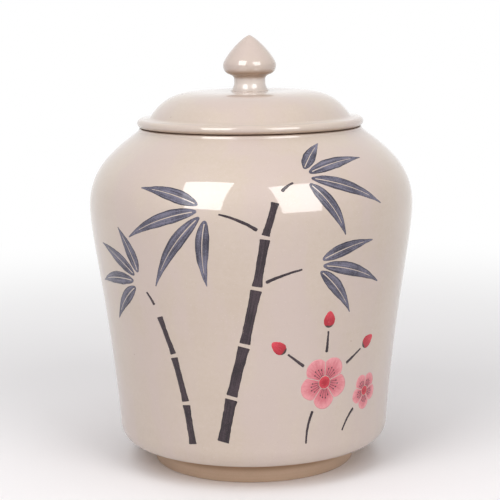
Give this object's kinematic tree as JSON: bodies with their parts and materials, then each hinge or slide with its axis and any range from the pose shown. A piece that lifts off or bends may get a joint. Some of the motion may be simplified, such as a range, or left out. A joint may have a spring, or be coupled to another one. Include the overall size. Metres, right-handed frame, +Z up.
{
  "type": "tea storage jar",
  "caption": "Round-shouldered jar of polished clay with a domed lift-off lid, a bud-shaped knob and a raised foot, inlaid with bamboo and blossom, for keeping loose tea.",
  "frame": {"origin": "centre of the foot ring, on the surface that the jar stands on", "axes": "+Z up along the jar's axis of turning; the decorated front faces -Y; +X to the right seen from the front"},
  "size_m": [0.2, 0.2, 0.2648],
  "materials": {
    "burnished_clay": "unglazed warm beige clay, burnished to a gloss",
    "brown_clay": "brown-black inlaid clay, burnished",
    "slate_clay": "slate-grey inlaid clay, burnished",
    "pink_clay": "pink inlaid clay, burnished",
    "red_clay": "red inlaid clay, burnished"
  },
  "bodies": {
    "jar": {"jar_body": "burnished_clay", "high_bud": "red_clay", "high_bud_stalk": "brown_clay", "large_blossom": "pink_clay", "large_blossom_eye": "red_clay", "large_blossom_stalk": "brown_clay", "left_bud": "red_clay", "left_bud_stalk": "brown_clay", "left_leaf_1": "slate_clay", "left_leaf_2": "slate_clay", "left_leaf_3": "slate_clay", "left_leaf_4": "slate_clay", "left_twig": "brown_clay", "right_bud": "red_clay", "right_bud_stalk": "brown_clay", "right_leaf_1": "slate_clay", "right_leaf_2": "slate_clay", "right_leaf_3": "slate_clay", "right_twig": "brown_clay", "short_culm_1": "brown_clay", "short_culm_2": "brown_clay", "short_culm_3": "brown_clay", "short_leaf_1": "slate_clay", "short_leaf_2": "slate_clay", "short_leaf_3": "slate_clay", "short_leaf_4": "slate_clay", "short_twig": "brown_clay", "small_blossom": "pink_clay", "small_blossom_eye": "red_clay", "small_blossom_stalk": "brown_clay", "tall_culm_1": "brown_clay", "tall_culm_2": "brown_clay", "tall_culm_3": "brown_clay", "tall_culm_4": "brown_clay", "tall_culm_5": "brown_clay", "top_leaf_1": "slate_clay", "top_leaf_2": "slate_clay", "top_leaf_3": "slate_clay", "top_leaf_4": "slate_clay", "top_twig": "brown_clay"},
    "lid": {"lid": "burnished_clay", "lid_knob": "burnished_clay"}
  },
  "joints": [
    {"name": "lid_lift", "type": "slide", "parent": "jar", "child": "lid", "axis": [0, 0, 1], "range_m": [0, 0.15]}
  ]
}
